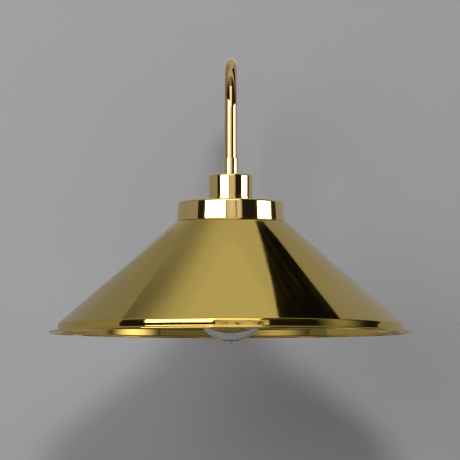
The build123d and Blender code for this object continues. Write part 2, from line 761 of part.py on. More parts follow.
def bulb_pip():
    """The rounded seal under the globe, blended into it by a hollow crease, up to the globe's centre."""
    apart = globe_z - (lamp_low + PIP_ROUND_R)
    from_globe = GLOBE_R + PIP_CREASE_R
    from_pip = PIP_ROUND_R + PIP_CREASE_R
    down = (from_globe**2 - from_pip**2 + apart**2) / (2 * apart)
    crease = Vector(sqrt(from_globe**2 - down**2), globe_z - down)
    globe_middle = Vector(0, globe_z)
    pip_middle = Vector(0, lamp_low + PIP_ROUND_R)
    on_globe = globe_middle + (crease - globe_middle) * (GLOBE_R / from_globe)
    on_pip = pip_middle + (crease - pip_middle) * (PIP_ROUND_R / from_pip)
    outline = [
        Line(globe_middle, on_globe),
        RadiusArc(on_globe, on_pip, -PIP_CREASE_R),
        RadiusArc(on_pip, (0, lamp_low), PIP_ROUND_R),
        Line((0, lamp_low), globe_middle),
    ]
    return revolve(Plane.XZ * make_face(outline), Axis.Z)


def bulb_glass():
    """Clear envelope, open at the neck, with the rounded pip of its seal at the lowest point."""
    form = lamp_form(0, lamp_neck_top) + bulb_pip()
    return SHADE_FRAME * (form - lamp_form(GLASS, lamp_neck_top + 1))


def bulb_stem():
    """Glass mount: a flare sealed to the neck, a tube, the press that holds the wires, and a long post."""
    flare_low = lamp_neck_top - STEM_FLARE_H
    flare_r = LAMP_NECK_R - GLASS - FIT
    post_low = globe_z + POST_END_UP
    return SHADE_FRAME * turned(
        (0, press_top),
        (STEM_R - STEM_WALL, press_top),
        (STEM_R - STEM_WALL, flare_low, STEM_FLARE_R),
        (flare_r - STEM_WALL, lamp_neck_top),
        (flare_r, lamp_neck_top),
        (STEM_R, flare_low, STEM_FLARE_R),
        (STEM_R, press_top - PRESS_ROUND, PRESS_ROUND),
        (PRESS_R, press_low, PRESS_ROUND),
        (POST_R, press_low - PRESS_ROUND, EDGE_ROUND),
        (POST_R, post_low, POST_TIP_R),
        (0, post_low),
    )


def filament_ends(index):
    """The top and lower ends of one filament stick, and the points on the post that its wires come from."""
    angle = radians(45 + 360 / FILAMENT_COUNT * index)

    def around(radius, height):
        return Vector(radius * cos(angle), radius * sin(angle), height)

    top = around(FILAMENT_TOP_R, globe_z + FILAMENT_TOP_UP)
    low = around(FILAMENT_END_R, globe_z + FILAMENT_END_UP)
    press_point = around(POST_R, press_low - WIRE_ROOT_DOWN)
    post_point = around(POST_R, globe_z + FILAMENT_END_UP + WIRE_ROOT_UP)
    return top, low, press_point, post_point


def bulb_filaments():
    """Upright filament sticks that splay out a little downwards."""
    sticks = Part()
    for index in range(FILAMENT_COUNT):
        top, low, _, _ = filament_ends(index)
        sticks += rod(top, low, FILAMENT_R)
    return SHADE_FRAME * sticks


def bulb_support_wires():
    """Wires that hold each stick at both ends, and the two that lead in through the stem."""
    wires = Part()
    for index in range(FILAMENT_COUNT):
        top, low, press_point, post_point = filament_ends(index)
        wires += rod(press_point, top, SUPPORT_WIRE_R)
        wires += rod(post_point, low, SUPPORT_WIRE_R)
    for side in (-1, 1):
        x = side * LEAD_IN_X
        wires += rod((x, 0, press_top), (x, 0, lamp_neck_top), SUPPORT_WIRE_R)
    wires -= SHADE_FRAME.inverse() * (bulb_stem() + bulb_filaments())
    return SHADE_FRAME * wires


def bulb_screw_cap():
    """Plated brass cap of the lamp, drawn at its thread's outer size and rolled in to the glass below."""
    return SHADE_FRAME * spun(
        LAMP_CAP_SHEET,
        (LAMP_SHOULDER_HOLE_R, lamp_shoulder),
        (LAMP_CAP_R, lamp_shoulder, LAMP_CAP_CORNER_R),
        (LAMP_CAP_R, lamp_cap_low, LAMP_CAP_ROLL_R),
        (LAMP_NECK_R + FIT, lamp_cap_low),
    )


def bulb_insulator():
    """Black glass cone between the lamp's shell and its contact."""
    contact_low = lamp_top - LAMP_CONTACT_H
    return SHADE_FRAME * turned(
        (0, lamp_shoulder),
        (LAMP_INSULATOR_R, lamp_shoulder),
        (LAMP_CONTACT_R + LAMP_CONTACT_RIM, contact_low),
        (0, contact_low),
    )


def bulb_contact():
    """The lamp's centre contact."""
    contact_low = lamp_top - LAMP_CONTACT_H
    return SHADE_FRAME * turned(
        (0, contact_low), (LAMP_CONTACT_R, contact_low), (LAMP_CONTACT_R, lamp_top, EDGE_ROUND), (0, lamp_top)
    )


def bulb_driver():
    """Round circuit board with its capacitor, in the lamp's cap, bonded to the neck's end."""
    board_top = lamp_neck_top + DRIVER_H
    board = Pos(0, 0, lamp_neck_top) * extrude(Circle(LAMP_NECK_R), DRIVER_H)
    lying = board_top + CAPACITOR_LIFT
    capacitor = rod((-CAPACITOR_L / 2, 0, lying), (CAPACITOR_L / 2, 0, lying), CAPACITOR_R)
    chip = Pos(0, CHIP_Y, board_top) * extrude(Rectangle(CHIP_L, CHIP_W), CHIP_H)
    return SHADE_FRAME * (board + capacitor + chip)


PIECES = (
    wall_bracket,
    wall_rose,
    rose_screws,
    arm_boss,
    backing_washer,
    earth_tag,
    arm_locknut,
    terminal_block,
    terminal_barrels,
    terminal_screws,
    block_screws,
    lead_live,
    lead_neutral,
    lead_earth,
    conductor_ends,
    arm_tube,
    arm_ferrule,
    holder_locknut,
    lampholder_cap,
    lampholder_skirt,
    shade_ring,
    lampholder_ceramic,
    lampholder_screw_shell,
    lampholder_contact,
    lampholder_rivets,
    lampholder_terminals,
    lampholder_terminal_screws,
    shade_collar,
    shade_cone,
    bulb_contact,
    bulb_insulator,
    bulb_screw_cap,
    bulb_glass,
    bulb_stem,
    bulb_filaments,
    bulb_support_wires,
    bulb_driver,
)

os.makedirs("parts", exist_ok=True)
for piece in PIECES:
    solid = piece()
    export_step(solid, f"parts/{piece.__name__}.step")
    print(f"{piece.__name__}: {solid.volume:.0f} cubic mm in {len(solid.solids())} solid(s)")
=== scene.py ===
# %% [markdown]
# # A swan-neck wall light in polished brass
# The CAD model gives every piece its real size and place. This lesson dresses it for a picture: it models
# again, with Blender's own mesh tools, the pieces whose curves catch the light, gives each piece a finish
# made of shader nodes, and builds the small studio that polished metal needs, because a mirror only looks
# like brass when there is something to mirror.

import json
from math import acos, asin, atan2, ceil, cos, degrees, pi, radians, sin, sqrt, tan, tau

import bmesh
import bpy
from mathutils import Matrix, Vector

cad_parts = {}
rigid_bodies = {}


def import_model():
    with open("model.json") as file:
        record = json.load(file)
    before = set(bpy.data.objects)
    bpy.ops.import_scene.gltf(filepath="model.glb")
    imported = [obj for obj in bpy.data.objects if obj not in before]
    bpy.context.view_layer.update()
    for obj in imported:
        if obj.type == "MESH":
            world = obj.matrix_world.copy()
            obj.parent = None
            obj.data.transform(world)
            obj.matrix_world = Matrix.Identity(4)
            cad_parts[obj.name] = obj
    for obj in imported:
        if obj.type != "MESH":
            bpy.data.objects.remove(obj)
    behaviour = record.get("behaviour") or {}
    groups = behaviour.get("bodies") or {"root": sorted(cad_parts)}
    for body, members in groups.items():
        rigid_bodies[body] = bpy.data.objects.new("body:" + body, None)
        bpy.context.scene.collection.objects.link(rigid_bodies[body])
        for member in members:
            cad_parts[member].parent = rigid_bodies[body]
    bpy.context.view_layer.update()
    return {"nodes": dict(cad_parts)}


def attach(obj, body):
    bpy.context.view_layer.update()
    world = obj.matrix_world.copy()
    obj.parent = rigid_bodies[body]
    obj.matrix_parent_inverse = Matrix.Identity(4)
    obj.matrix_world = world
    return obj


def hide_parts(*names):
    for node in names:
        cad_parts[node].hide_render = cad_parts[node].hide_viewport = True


for leftover in list(bpy.data.objects):
    bpy.data.objects.remove(leftover)
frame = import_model()
nodes = frame["nodes"]

# %% [markdown]
# ## Two frames
# A turned piece is drawn as half a section, in millimetres, and spun about its own axis. The shade and its
# lampholder stand upright, so their heights are counted from the underside of the rim. The rose and the boss
# lie on the wall, so theirs are counted out from it. One matrix for each frame carries a finished mesh to its
# place in metres, and the object itself stays at the origin.

# %% Frames and a few shared sizes
REACH = 245  # wall to the shade's axis
ROSE_ABOVE_RIM = 60
MM = Matrix.Scale(0.001, 4)
SHADE_FRAME = MM @ Matrix.Translation((0, -REACH, -ROSE_ABOVE_RIM))
WALL_FRAME = MM @ Matrix.Rotation(pi / 2, 4, "X")
SHADE_AXIS = SHADE_FRAME @ Vector((0, 0, 0))
print("underside of the rim at", [round(c, 4) for c in SHADE_AXIS], "m")

# %% [markdown]
# ## A pen for half sections
# Spun brass is a few straight lines joined by tangent arcs, and the arcs are where the light turns. A pen
# that draws such a line is all the modelling a turned piece needs: a run extrudes the pen's vertex, and an
# arc spins it about the arc's centre, so every rounding is a true arc. Beveling the corners afterwards would
# be shorter, but a bevel with a profile of 0.5 is a circle only at a right angle.

# %% The pen
ARC_STEP = 6  # degrees of turn for each edge of an arc
SHORTEST = 0.001  # a shorter run is left out
RINGS = 256  # edges round a large spun piece


class Pen:
    """Draws a half section in the XZ plane, x the radius and z the height, in millimetres."""

    def __init__(self, x, z):
        self.mesh = bmesh.new()
        self.start = self.mesh.verts.new((x, 0, z))
        self.tip = self.start

    def to(self, x, z):
        """A straight run."""
        if (self.tip.co - Vector((x, 0, z))).length > SHORTEST:
            self.tip = bmesh.ops.extrude_vert_indiv(self.mesh, verts=[self.tip])["verts"][0]
            self.tip.co = (x, 0, z)
        return self

    def arc(self, x, z, turn, step=ARC_STEP):
        """An arc about (x, z), anticlockwise where the turn, in degrees, is positive."""
        spun = bmesh.ops.spin(
            self.mesh, geom=[self.tip], cent=(x, 0, z), axis=(0, -1, 0), angle=radians(turn),
            steps=max(2, ceil(abs(turn) / step)), use_merge=False,
        )
        self.tip = [v for v in spun["geom_last"] if isinstance(v, bmesh.types.BMVert)][0]
        return self

    def through(self, *corners):
        """Runs from corner to corner. A corner is (x, z), or (x, z, radius) where it is rounded."""
        for corner, following in zip(corners, corners[1:] + ((None, None),)):
            radius = corner[2] if len(corner) == 3 else 0
            if not radius:
                self.to(*corner[:2])
                continue
            at = Vector(corner[:2])
            came = (at - Vector((self.tip.co.x, self.tip.co.z))).normalized()
            goes = (Vector(following[:2]) - at).normalized()
            side = 1 if came.cross(goes) > 0 else -1
            turn = acos(max(-1, min(1, came.dot(goes))))
            begin = at - came * radius * tan(turn / 2)
            centre = begin + Vector((-came.y, came.x)) * side * radius
            self.to(*begin).arc(*centre, degrees(turn) * side)
        return self

    def close(self):
        """Joins the tip to the start."""
        self.mesh.edges.new((self.tip, self.start))
        return self


print("an arc of 90 degrees gets", ceil(90 / ARC_STEP), "edges")

# %% [markdown]
# ## From a section to a piece
# A full spin leaves the last ring on the first, so the spin merges it and the axis is closed by merging
# doubles. Only then are the normals turned outwards. Edges sharper than 30 degrees stay crisp, and the
# Weighted Normal modifier gives a flat its own normal right up to the start of an arc: without it a mirror
# finish shows the long flats as if they were bulged.

# %% Finishing a mesh
SHARP = radians(30)
SAME = 0.0005  # points nearer than this are merged


def finished(name, mesh, place, node, body="root", weighted=True):
    """Makes the bmesh an object in its place, standing for a CAD node, and puts it on its body."""
    bmesh.ops.remove_doubles(mesh, verts=mesh.verts, dist=SAME)
    bmesh.ops.recalc_face_normals(mesh, faces=mesh.faces)
    bmesh.ops.transform(mesh, matrix=place, verts=mesh.verts)
    for edge in mesh.edges:
        edge.smooth = len(edge.link_faces) != 2 or edge.calc_face_angle(0) < SHARP
    for face in mesh.faces:
        face.smooth = True
    data = bpy.data.meshes.new(name)
    mesh.to_mesh(data)
    open_edges = sum(edge.is_boundary for edge in mesh.edges)
    mesh.free()
    piece = bpy.data.objects.new(name, data)
    bpy.context.scene.collection.objects.link(piece)
    if weighted:
        even = piece.modifiers.new("even flats", "WEIGHTED_NORMAL")
        even.keep_sharp = True
    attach(piece, body)
    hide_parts(node)
    print(f"{name}: {len(data.polygons)} faces, {open_edges} open edges")
    return piece


def spun(pen, rings=RINGS):
    """Spins the pen's line about Z into a closed skin."""
    mesh = pen.mesh
    bmesh.ops.spin(
        mesh, geom=mesh.verts[:] + mesh.edges[:], cent=(0, 0, 0), axis=(0, 0, 1), angle=tau, steps=rings,
        use_merge=True,
    )
    return mesh


def sheet(thickness, *corners):
    """The way back along the inside of a sheet, whose outer line turns at these corners."""
    inner = []
    for before, at, after in zip(corners, corners[1:], corners[2:]):
        came = (Vector(at[:2]) - Vector(before[:2])).normalized()
        goes = (Vector(after[:2]) - Vector(at[:2])).normalized()
        right_in, right_out = Vector((came.y, -came.x)), Vector((goes.y, -goes.x))
        shift = (right_in + right_out) * (thickness / (1 + right_in.dot(right_out)))
        turns_right = came.cross(goes) < 0
        radius = at[2] - thickness if turns_right else at[2] + thickness
        inner.append((at[0] + shift.x, at[1] + shift.y, radius))
    return inner[::-1]


print("edges sharper than", round(degrees(SHARP)), "degrees stay crisp")

# %% [markdown]
# ## The shade
# The real shade is a brass disc spun over a wooden former: a flat top, a rounded shoulder, a straight flank,
# and at the rim a rolled upstand that coves out into a flat flange, whose edge is hemmed under so that it
# isn't sharp. It could be a cone with loops cut in, but the rim is what the eye goes to, and its reflections
# need the true arcs. So one closed section is drawn, outside and back along the inside. The upstand is a
# tight corner and a large arc, which spreads one highlight over its height, as in the photo.

# %% The shade's section
SHADE_TOP, SHADE_R, SHADE_SHEET = 92.2, 150, 0.85
SKIRT_HOLE_R = 16.7
UPSTAND_R = 142.83
FLANGE_TOP = SHADE_SHEET * 2  # the hem lies under the flange
HEM_IN_R, HEM_ROUND = 146, 0.83
cone_line = (
    (SKIRT_HOLE_R, SHADE_TOP),
    (46.6, SHADE_TOP, 7),  # the shoulder
    (142.41, 7.89, 1.8),  # the flank's foot
    (UPSTAND_R, 6, 12.3),
    (UPSTAND_R, FLANGE_TOP, 1.2),  # the cove
    (SHADE_R, FLANGE_TOP, HEM_ROUND),
)
shade_pen = Pen(*cone_line[0]).through(
    *cone_line[1:],
    (SHADE_R, 0, HEM_ROUND),
    (HEM_IN_R, 0, 0.28),
    (HEM_IN_R, SHADE_SHEET),
    (142.1, SHADE_SHEET, 1.5),  # the cove's inside
    (141.55, 7.51, 1.5),
    *sheet(SHADE_SHEET, *cone_line)[-1:],
    (SKIRT_HOLE_R, SHADE_TOP - SHADE_SHEET),
).close()
print(len(shade_pen.mesh.verts), "points in the shade's section")

# %% The shade
shade = finished("shade", spun(shade_pen, rings=320), SHADE_FRAME, "shade_cone")

# %% [markdown]
# ## The collar
# A drum pressed from thicker sheet stands on the shade's flat top. It is a little wider at its foot, which
# tips its wall, so its highlights aren't quite upright, and its foot has a fine radius that draws a bright
# line above the shade.

# %% The collar
COLLAR_TOP, COLLAR_SHEET = 108.8, 1.2
COLLAR_TOP_R, COLLAR_FOOT_R = 43.9, 45.1
collar_pen = Pen(SKIRT_HOLE_R, COLLAR_TOP).through(
    (COLLAR_TOP_R, COLLAR_TOP, 2),
    (COLLAR_FOOT_R, SHADE_TOP, 0.5),
    (COLLAR_FOOT_R - COLLAR_SHEET, SHADE_TOP),
    (COLLAR_TOP_R - COLLAR_SHEET, COLLAR_TOP - COLLAR_SHEET, 0.8),
    (SKIRT_HOLE_R, COLLAR_TOP - COLLAR_SHEET),
).close()
collar = finished("collar", spun(collar_pen), SHADE_FRAME, "shade_collar")

# %% [markdown]
# ## The lampholder's cap and the ferrule
# Both are turned from bar: the cap has a base ring below a groove and is bored for the skirt's thread, and
# the ferrule is a plain sleeve. Every turned edge has a small break, because a lathe hand always takes the
# burr off, and in brass each break is a bright thread of light.

# %% Cap and ferrule
FIT = 0.05  # between two pieces that screw or slide together
BREAK = 0.3  # radius of a turned edge
SKIRT_R = 16.5
ARM_R, ARM_BORE_R = 5, 4
ARM_HOLE_R = ARM_R + FIT
CAP_R, CAP_TOP, CAP_ROOF = 18.2, 131.5, 129.9
BASE_RING_R, BASE_RING_TOP = 18.5, 113
GROOVE_R, GROOVE_TOP = 17.7, 113.8
THREAD_BORE_R, LEDGE_R, LEDGE_Z = SKIRT_R + FIT, 15.05, 121.5
cap_pen = Pen(THREAD_BORE_R, COLLAR_TOP).through(
    (BASE_RING_R, COLLAR_TOP, BREAK),
    (BASE_RING_R, BASE_RING_TOP, BREAK),
    (GROOVE_R, BASE_RING_TOP),
    (GROOVE_R, GROOVE_TOP),
    (CAP_R, GROOVE_TOP, BREAK),
    (CAP_R, CAP_TOP, 1.8),
    (ARM_HOLE_R, CAP_TOP),
    (ARM_HOLE_R, CAP_ROOF),
    (LEDGE_R, CAP_ROOF),
    (LEDGE_R, LEDGE_Z),
    (THREAD_BORE_R, LEDGE_Z),
).close()
cap = finished("holder_cap", spun(cap_pen, rings=160), SHADE_FRAME, "lampholder_cap")
FERRULE_R, FERRULE_TOP = 6.05, 145.6
ferrule_pen = Pen(ARM_HOLE_R, CAP_TOP).through(
    (FERRULE_R, CAP_TOP, BREAK), (FERRULE_R, FERRULE_TOP, 0.5), (ARM_HOLE_R, FERRULE_TOP)
).close()
ferrule = finished("ferrule", spun(ferrule_pen, rings=96), SHADE_FRAME, "arm_ferrule")

# %% [markdown]
# ## The boss on the rose
# Where the arm leaves the wall a turned flange sweeps in to the tube. Its section is drawn in the wall's
# frame, so the same pen and spin make it, and only the matrix differs.

# %% The boss
ROSE_FRONT, BOSS_FRONT = 22, 34
BOSS_FLANGE_R, BOSS_FLANGE_FRONT, BOSS_NOSE_R = 14, 24.5, 7
boss_pen = Pen(ARM_HOLE_R, ROSE_FRONT).through(
    (BOSS_FLANGE_R, ROSE_FRONT),
    (BOSS_FLANGE_R, BOSS_FLANGE_FRONT, 0.8),
    (BOSS_NOSE_R, BOSS_FLANGE_FRONT, 1.5),
    (BOSS_NOSE_R, BOSS_FRONT, 0.5),
    (ARM_HOLE_R, BOSS_FRONT),
).close()
boss = finished("boss", spun(boss_pen, rings=128), WALL_FRAME, "arm_boss")

# %% [markdown]
# ## The arm
# The arm is one drawn tube, bent three times round the same former. A circle swept on a curve would do, but
# the bends of a real tube are true arcs with straight runs between them, so the mesh is made as the bender
# makes it: the section is pushed straight, then turned about the former's centre, run after run.

# %% The arm's section
BEND_R, BEND_STEPS = 45, 36
RISER_OUT, CROWN_Z = 80, 171.3
ARM_START, ARM_END_Z = 14, 65.9
TUBE_SIDES = 64
arm_mesh = bmesh.new()
for radius in (ARM_R, ARM_BORE_R):
    bmesh.ops.create_circle(
        arm_mesh, segments=TUBE_SIDES, radius=radius,
        matrix=Matrix.Translation((0, -ARM_START, 0)) @ Matrix.Rotation(pi / 2, 4, "X"),
    )
section = arm_mesh.edges[:]
bmesh.ops.bridge_loops(arm_mesh, edges=section)
print(len(section), "edges in the tube's end")


# %% Pushing and bending
def pushed(edges, x, y, z):
    """Carries the section along a straight run."""
    out = bmesh.ops.extrude_edge_only(arm_mesh, edges=edges)["geom"]
    moved = [v for v in out if isinstance(v, bmesh.types.BMVert)]
    bmesh.ops.translate(arm_mesh, verts=moved, vec=(x, y, z))
    return [e for e in out if isinstance(e, bmesh.types.BMEdge)]


def bent(edges, y, z, turn):
    """Carries the section round a quarter bend about a centre in the wall's upright plane."""
    out = bmesh.ops.spin(
        arm_mesh, geom=edges, cent=(0, y, z), axis=(1, 0, 0), angle=radians(turn), steps=BEND_STEPS,
        use_merge=False,
    )
    return [e for e in out["geom_last"] if isinstance(e, bmesh.types.BMEdge)]


section = pushed(section, 0, -(RISER_OUT - BEND_R - ARM_START), 0)
section = bent(section, -(RISER_OUT - BEND_R), BEND_R, -90)
section = pushed(section, 0, 0, CROWN_Z - BEND_R * 2)
section = bent(section, -(RISER_OUT + BEND_R), CROWN_Z - BEND_R, 90)
print(len(arm_mesh.verts), "points so far")

# %% The arm
section = pushed(section, 0, -(REACH - RISER_OUT - BEND_R * 2), 0)
section = bent(section, -(REACH - BEND_R), CROWN_Z - BEND_R, 90)
section = pushed(section, 0, 0, ARM_END_Z - (CROWN_Z - BEND_R))
bmesh.ops.bridge_loops(arm_mesh, edges=section)
arm = finished("arm", arm_mesh, MM, "arm_tube")

# %% [markdown]
# ## Threads
# Seen from below, the skirt is threaded and so is the lamp's cap. A thread is one turn of a toothed line that
# climbs by its pitch as it spins: the line, several teeth tall, meets itself a tooth higher, so merging the
# doubles makes one unbroken helix. Two planes then cut its ends square, and the open loops are carried on
# as plain rings to make the rest of the piece.


# %% A thread
THREAD_RINGS = 96
THREAD_ARC_STEPS = 6
NEAR = 0.01  # points of a thread nearer than this are one


def threaded(crest, root, pitch, low, top):
    """The skin of a thread between two heights, open at both."""
    depth = (crest - root) / 2
    half_chord = pitch / 4
    arc_r = (half_chord**2 + depth**2) / (2 * depth)
    turn = degrees(2 * asin(half_chord / arc_r))
    middle = (crest + root) / 2
    teeth = ceil((top - low) / pitch) + 2
    foot = low - pitch * 1.5
    pen = Pen(middle, foot)
    for tooth in range(teeth):
        z = foot + pitch * tooth
        pen.arc(crest - arc_r, z + half_chord, turn, turn / THREAD_ARC_STEPS)
        pen.arc(root + arc_r, z + half_chord * 3, -turn, turn / THREAD_ARC_STEPS)
    mesh = pen.mesh
    bmesh.ops.spin(
        mesh, geom=mesh.verts[:] + mesh.edges[:], cent=(0, 0, 0), axis=(0, 0, 1), angle=tau,
        steps=THREAD_RINGS, dvec=(0, 0, pitch / THREAD_RINGS), use_merge=False,
    )
    bmesh.ops.remove_doubles(mesh, verts=mesh.verts, dist=NEAR)
    for height, outward in ((low, -1), (top, 1)):
        bmesh.ops.bisect_plane(
            mesh, geom=mesh.verts[:] + mesh.edges[:] + mesh.faces[:], plane_co=(0, 0, height),
            plane_no=(0, 0, outward), clear_outer=True, dist=0.0001,
        )
    return mesh


def end_loop(mesh, z):
    """The open edges at a height."""
    return [e for e in mesh.edges if e.is_boundary and all(abs(v.co.z - z) < NEAR for v in e.verts)]


def carried(mesh, loop, *rings):
    """Carries an open loop on through rings, each (radius, height), and gives the last loop."""
    for radius, height in rings:
        out = bmesh.ops.extrude_edge_only(mesh, edges=loop)["geom"]
        for v in out:
            if isinstance(v, bmesh.types.BMVert):
                share = radius / sqrt(v.co.x**2 + v.co.y**2)
                v.co = (v.co.x * share, v.co.y * share, height)
        loop = [e for e in out if isinstance(e, bmesh.types.BMEdge)]
    return loop


print("a thread turns in steps of", 360 / THREAD_RINGS, "degrees")

# %% [markdown]
# ## The skirt
# The skirt hangs from the cap, carries the ceramic on an inward lip, and its fine thread takes the ring that
# clamps the shade.

# %% The skirt
SKIRT_ROOT_R, SKIRT_PITCH = 16.1, 2
SKIRT_LOW, SKIRT_BORE_R, LIP_BORE_R, LIP = 71, 15.5, 14.3, 1.5
thread_low, thread_top = SKIRT_LOW + 0.6, LEDGE_Z - FIT
skirt_mesh = threaded(SKIRT_R, SKIRT_ROOT_R, SKIRT_PITCH, thread_low, thread_top)
lower = carried(
    skirt_mesh, end_loop(skirt_mesh, thread_low),
    (16.0, SKIRT_LOW + 0.15), (15.8, SKIRT_LOW), (LIP_BORE_R, SKIRT_LOW), (LIP_BORE_R, SKIRT_LOW + LIP),
    (SKIRT_BORE_R, SKIRT_LOW + LIP),
)
upper = carried(skirt_mesh, end_loop(skirt_mesh, thread_top), (SKIRT_BORE_R, thread_top))
bmesh.ops.bridge_loops(skirt_mesh, edges=lower + upper)
skirt = finished("holder_skirt", skirt_mesh, SHADE_FRAME, "lampholder_skirt", weighted=False)

# %% [markdown]
# ## The lamp's screw cap
# A 27 mm cap is rolled from thin plated brass: the thread is pressed into it, its lower edge is rolled in
# against the glass, and its shoulder is drawn in round the black insulator.

# %% The screw cap
LAMP_CAP_LOW, LAMP_SHOULDER = 70.7, 93.1
LAMP_CREST_R, LAMP_ROOT_R, LAMP_PITCH, LAMP_SHEET = 13.1, 12.3, 3.629, 0.3
NECK_R, INSULATOR_R = 11.9, 8
thread_low, thread_top = LAMP_CAP_LOW + 2.2, LAMP_SHOULDER - 2.2
lamp_cap_mesh = threaded(LAMP_CREST_R, LAMP_ROOT_R, LAMP_PITCH, thread_low, thread_top)
lower = carried(
    lamp_cap_mesh, end_loop(lamp_cap_mesh, thread_low),
    (12.75, thread_low - 0.5), (12.75, LAMP_CAP_LOW + 0.5), (12.6, LAMP_CAP_LOW + 0.15),
    (12.3, LAMP_CAP_LOW), (NECK_R + FIT, LAMP_CAP_LOW), (NECK_R + FIT, LAMP_CAP_LOW + LAMP_SHEET),
    (12.3, LAMP_CAP_LOW + 0.4),
)
upper = carried(
    lamp_cap_mesh, end_loop(lamp_cap_mesh, thread_top),
    (12.75, thread_top + 0.5), (12.75, LAMP_SHOULDER - 1.2), (12.4, LAMP_SHOULDER - 0.35),
    (11.55, LAMP_SHOULDER), (INSULATOR_R, LAMP_SHOULDER), (INSULATOR_R, LAMP_SHOULDER - LAMP_SHEET),
    (11.5, LAMP_SHOULDER - LAMP_SHEET), (12.0, LAMP_SHOULDER - 1.2),
)
bmesh.ops.bridge_loops(lamp_cap_mesh, edges=lower + upper)
lamp_cap = finished(
    "lamp_screw_cap", lamp_cap_mesh, SHADE_FRAME, "bulb_screw_cap", "bulb", weighted=False
)

# %% [markdown]
# ## The glass
# A globe lamp is blown into a mould and sealed at its foot, which leaves a rounded pip. The neck sweeps in
# by one large hollow arc. The wall is drawn with its inside too: glass bends light at both faces, and a
# single skin would look like a solid ball.

# %% The glass
GLOBE_R, GLOBE_Z, GLASS = 30, 23.4, 0.8
NECK_TOP, NECK_SWEEP_R = 83.7, 35
PIP_LOW, PIP_R, CREASE_R = -8.3, 8.5, 3
GLASS_STEP = 4  # degrees for each edge of the glass's arcs
sweep_x = NECK_R + NECK_SWEEP_R
sweep_up = sqrt((GLOBE_R + NECK_SWEEP_R) ** 2 - sweep_x**2)
sweep_turn = degrees(atan2(sweep_up, sweep_x))
pip_z = PIP_LOW + PIP_R
apart = GLOBE_Z - pip_z
crease_down = ((GLOBE_R + CREASE_R) ** 2 - (PIP_R + CREASE_R) ** 2 + apart**2) / (2 * apart)
crease_x = sqrt((GLOBE_R + CREASE_R) ** 2 - crease_down**2)
crease_z = GLOBE_Z - crease_down
pip_turn = degrees(atan2(crease_x, pip_z - crease_z))
crease_back = pip_turn - degrees(atan2(crease_x, crease_down))
globe_turn = 180 - degrees(atan2(crease_x, crease_down)) - (90 - sweep_turn)
sweep_z = GLOBE_Z + sweep_up
glass_pen = Pen(0, PIP_LOW)
glass_pen.arc(0, pip_z, pip_turn, GLASS_STEP).arc(crease_x, crease_z, -crease_back, GLASS_STEP)
glass_pen.arc(0, GLOBE_Z, globe_turn, GLASS_STEP).arc(sweep_x, sweep_z, -sweep_turn, GLASS_STEP)
glass_pen.through((NECK_R, NECK_TOP), (NECK_R - GLASS, NECK_TOP), (NECK_R - GLASS, sweep_z))
glass_pen.arc(sweep_x, sweep_z, sweep_turn, GLASS_STEP).arc(0, GLOBE_Z, -(90 + sweep_turn), GLASS_STEP)
glass = finished(
    "lamp_glass", spun(glass_pen, rings=128), SHADE_FRAME, "bulb_glass", "bulb", weighted=False
)

# %% [markdown]
# ## Shader sums in Python
# A finish is easier to read as a sum than as a web of nodes. This class wraps a socket, and each operator
# adds one Math node, so `0.06 + marks * 0.04` is what it says.


# %% A socket that adds up
class Value:
    """A number that varies over a surface."""

    def __init__(self, web, socket):
        self.web, self.socket = web, socket

    def math(self, operation, a, b):
        return self.web.node("Math", {"operation": operation}, {0: a, 1: b})

    def __add__(self, other):
        return self.math("ADD", self, other)

    def __sub__(self, other):
        return self.math("SUBTRACT", self, other)

    def __rsub__(self, other):
        return self.math("SUBTRACT", other, self)

    def __mul__(self, other):
        return self.math("MULTIPLY", self, other)

    def __gt__(self, other):
        return self.math("GREATER_THAN", self, other)

    def __abs__(self):
        return self.math("ABSOLUTE", self, 0)

    __radd__ = __add__
    __rmul__ = __mul__


print("a value knows", [name for name in vars(Value) if name.startswith("__r")], "too")

# %% [markdown]
# ## One way to make a node
# The sky, the cards and every finish are webs of nodes, and one method makes all their nodes: the settings
# come first, because some of them change which sockets there are, and then the values or links. The methods
# after it are the few patterns that the finishes share.


# %% A web of nodes
class Web:
    """A node tree, and the shader that its values feed."""

    def __init__(self, tree, shader):
        self.tree, self.shader = tree, tree.nodes[shader]

    def node(self, kind, settings, sockets, output=0):
        """Any node: its settings first, then the values or links of its sockets."""
        made = self.tree.nodes.new("ShaderNode" + kind)
        for setting, value in settings.items():
            setattr(made, setting, value)
        for socket, value in sockets.items():
            if isinstance(value, Value):
                self.tree.links.new(value.socket, made.inputs[socket])
            else:
                made.inputs[socket].default_value = value
        return Value(self, made.outputs[output])

    def feed(self, socket, value):
        """Links a value to the shader."""
        self.tree.links.new(value.socket, self.shader.inputs[socket])

    def eased(self, value, none, full):
        """0 where the value is at or before the first, and 1 from the second on, with a smooth rise."""
        return self.node("MapRange", {"interpolation_type": "SMOOTHSTEP"}, {
            "Value": value, "From Min": none, "From Max": full,
        })

    def between(self, value, rises, full, falls, gone):
        """1 where the value lies between two others, easing to 0 on both sides."""
        return self.eased(value, rises, full) * self.eased(value, gone, falls)

    def mixed(self, colour, other, share):
        """A colour between two colours, by a varying share."""
        return self.node("Mix", {"data_type": "RGBA"}, {0: share, 6: colour, 7: other}, 2)


